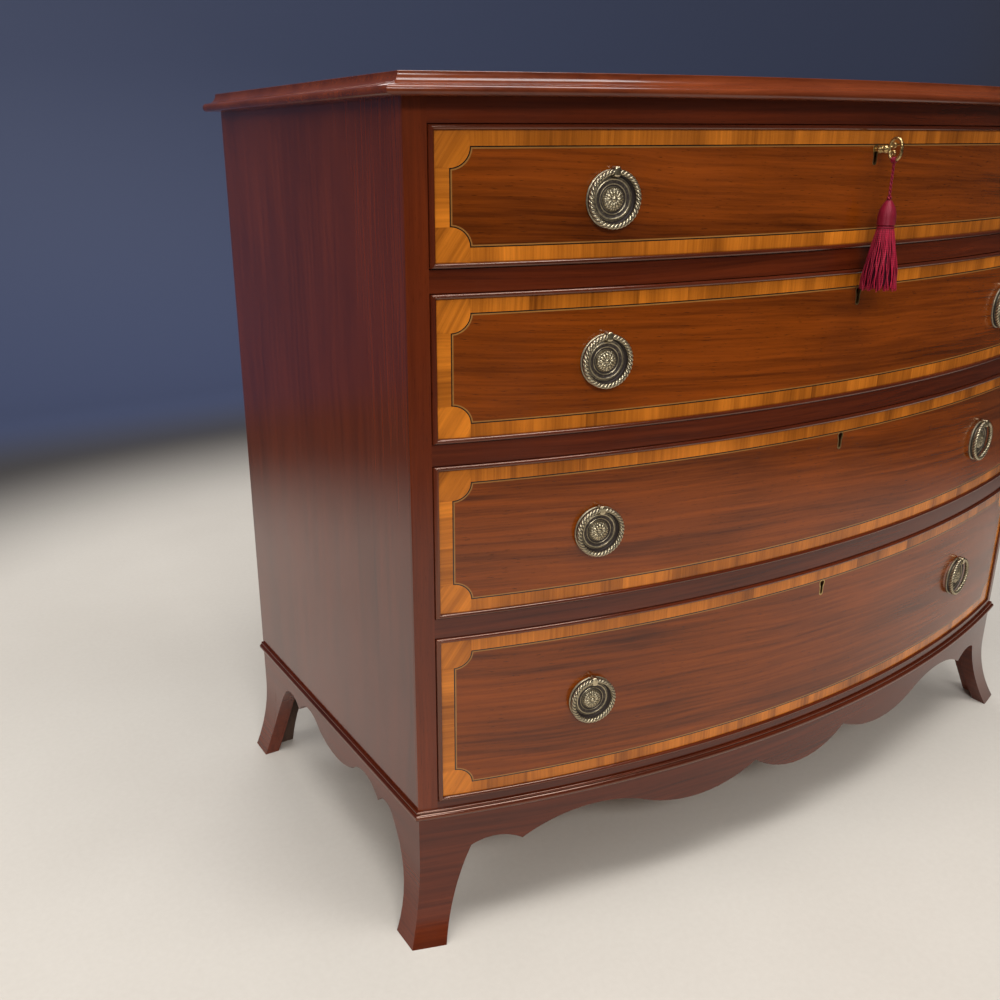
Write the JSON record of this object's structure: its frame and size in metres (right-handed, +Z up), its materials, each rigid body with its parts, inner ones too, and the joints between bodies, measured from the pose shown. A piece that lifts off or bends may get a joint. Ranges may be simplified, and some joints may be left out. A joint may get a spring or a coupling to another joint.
{
  "type": "bow front chest of drawers",
  "caption": "Bow front chest of graduated drawers on splayed bracket feet, with a shaped apron, cockbeaded and crossbanded fronts, ring handles, locks and a key with a tassel.",
  "frame": {"origin": "on the floor, under the centre of the chest's box, from the back boards to the front of the tassel", "axes": "+X to the right as seen from the front, +Y to the back, +Z up"},
  "size_m": [1.064, 0.5952, 0.9],
  "materials": {
    "carcass_mahogany": "french polished",
    "front_mahogany": "french polished",
    "bead_mahogany": "french polished",
    "banding_satinwood": "french polished",
    "secondary_wood": "raw",
    "brass": "antique",
    "silk": "silky"
  },
  "bodies": {
    "carcass": {"top_board": "carcass_mahogany", "side_left": "carcass_mahogany", "side_right": "carcass_mahogany", "front_stiles": "carcass_mahogany", "cross_rails": "carcass_mahogany", "bottom_board": "secondary_wood", "drawer_runners": "secondary_wood", "dust_boards": "secondary_wood", "drawer_stops": "secondary_wood", "back_boards": "secondary_wood", "base_moulding": "carcass_mahogany", "front_apron": "carcass_mahogany", "side_aprons": "carcass_mahogany", "rear_feet": "secondary_wood", "foot_blocks": "secondary_wood"},
    "top_drawer": {"top_drawer_front": "front_mahogany", "top_drawer_cockbead": "bead_mahogany", "top_drawer_banding": "banding_satinwood", "top_drawer_box": "secondary_wood", "top_drawer_bottom": "secondary_wood", "top_drawer_lock": "brass", "top_drawer_handle_mounts": "brass"},
    "top_bolt": {"top_drawer_bolt": "brass"},
    "top_ring_left": {"top_drawer_ring_left": "brass"},
    "top_ring_right": {"top_drawer_ring_right": "brass"},
    "second_drawer": {"second_drawer_front": "front_mahogany", "second_drawer_cockbead": "bead_mahogany", "second_drawer_banding": "banding_satinwood", "second_drawer_box": "secondary_wood", "second_drawer_bottom": "secondary_wood", "second_drawer_lock": "brass", "second_drawer_handle_mounts": "brass"},
    "second_bolt": {"second_drawer_bolt": "brass"},
    "second_ring_left": {"second_drawer_ring_left": "brass"},
    "second_ring_right": {"second_drawer_ring_right": "brass"},
    "third_drawer": {"third_drawer_front": "front_mahogany", "third_drawer_cockbead": "bead_mahogany", "third_drawer_banding": "banding_satinwood", "third_drawer_box": "secondary_wood", "third_drawer_bottom": "secondary_wood", "third_drawer_lock": "brass", "third_drawer_handle_mounts": "brass"},
    "third_bolt": {"third_drawer_bolt": "brass"},
    "third_ring_left": {"third_drawer_ring_left": "brass"},
    "third_ring_right": {"third_drawer_ring_right": "brass"},
    "bottom_drawer": {"bottom_drawer_front": "front_mahogany", "bottom_drawer_cockbead": "bead_mahogany", "bottom_drawer_banding": "banding_satinwood", "bottom_drawer_box": "secondary_wood", "bottom_drawer_bottom": "secondary_wood", "bottom_drawer_lock": "brass", "bottom_drawer_handle_mounts": "brass"},
    "bottom_bolt": {"bottom_drawer_bolt": "brass"},
    "bottom_ring_left": {"bottom_drawer_ring_left": "brass"},
    "bottom_ring_right": {"bottom_drawer_ring_right": "brass"},
    "key": {"key": "brass"},
    "tassel": {"tassel_cord": "silk", "tassel_head": "silk", "tassel_fringe": "silk"}
  },
  "joints": [
    {"name": "top_drawer_slide", "type": "slide", "parent": "carcass", "child": "top_drawer", "axis": [0, -1, 0], "range_m": [0, 0.35]},
    {"name": "top_bolt_lift", "type": "slide", "parent": "top_drawer", "child": "top_bolt", "axis": [0, 0, 1], "range_m": [0, 0.007]},
    {"name": "top_ring_right_swing", "type": "hinge", "parent": "top_drawer", "child": "top_ring_right", "pos_m": [0.3215, -0.22903, 0.8179], "axis": [-0.9804, -0.1968, 0], "range_deg": [0, 120]},
    {"name": "top_ring_left_swing", "type": "hinge", "parent": "top_drawer", "child": "top_ring_left", "pos_m": [-0.3215, -0.22903, 0.8179], "axis": [-0.9804, 0.1968, 0], "range_deg": [0, 120]},
    {"name": "second_drawer_slide", "type": "slide", "parent": "carcass", "child": "second_drawer", "axis": [0, -1, 0], "range_m": [0, 0.35], "deforming": ["tassel_fringe"]},
    {"name": "second_bolt_lift", "type": "slide", "parent": "second_drawer", "child": "second_bolt", "axis": [0, 0, 1], "range_m": [0, 0.007]},
    {"name": "second_ring_right_swing", "type": "hinge", "parent": "second_drawer", "child": "second_ring_right", "pos_m": [0.3215, -0.22903, 0.6679], "axis": [-0.9804, -0.1968, 0], "range_deg": [0, 120]},
    {"name": "second_ring_left_swing", "type": "hinge", "parent": "second_drawer", "child": "second_ring_left", "pos_m": [-0.3215, -0.22903, 0.6679], "axis": [-0.9804, 0.1968, 0], "range_deg": [0, 120]},
    {"name": "third_drawer_slide", "type": "slide", "parent": "carcass", "child": "third_drawer", "axis": [0, -1, 0], "range_m": [0, 0.35]},
    {"name": "third_bolt_lift", "type": "slide", "parent": "third_drawer", "child": "third_bolt", "axis": [0, 0, 1], "range_m": [0, 0.007]},
    {"name": "third_ring_right_swing", "type": "hinge", "parent": "third_drawer", "child": "third_ring_right", "pos_m": [0.3215, -0.22903, 0.4914], "axis": [-0.9804, -0.1968, 0], "range_deg": [0, 120]},
    {"name": "third_ring_left_swing", "type": "hinge", "parent": "third_drawer", "child": "third_ring_left", "pos_m": [-0.3215, -0.22903, 0.4914], "axis": [-0.9804, 0.1968, 0], "range_deg": [0, 120]},
    {"name": "bottom_drawer_slide", "type": "slide", "parent": "carcass", "child": "bottom_drawer", "axis": [0, -1, 0], "range_m": [0, 0.35]},
    {"name": "bottom_bolt_lift", "type": "slide", "parent": "bottom_drawer", "child": "bottom_bolt", "axis": [0, 0, 1], "range_m": [0, 0.007]},
    {"name": "bottom_ring_right_swing", "type": "hinge", "parent": "bottom_drawer", "child": "bottom_ring_right", "pos_m": [0.3215, -0.22903, 0.2947], "axis": [-0.9804, -0.1968, 0], "range_deg": [0, 120]},
    {"name": "bottom_ring_left_swing", "type": "hinge", "parent": "bottom_drawer", "child": "bottom_ring_left", "pos_m": [-0.3215, -0.22903, 0.2947], "axis": [-0.9804, 0.1968, 0], "range_deg": [0, 120]},
    {"name": "key_turn", "type": "hinge", "parent": "top_drawer", "child": "key", "pos_m": [0, -0.25438, 0.8352], "axis": [0, 1, 0], "range_deg": [0, 180]},
    {"name": "tassel_hang", "type": "hinge", "parent": "key", "child": "tassel", "pos_m": [0, -0.27813, 0.8352], "axis": [0, 1, 0], "range_deg": [-180, 0]}
  ],
  "couplings": [
    {"joint": "top_bolt_lift", "follows": "key_turn", "m_per_rad": 0.002228},
    {"joint": "tassel_hang", "follows": "key_turn", "ratio": -1}
  ]
}
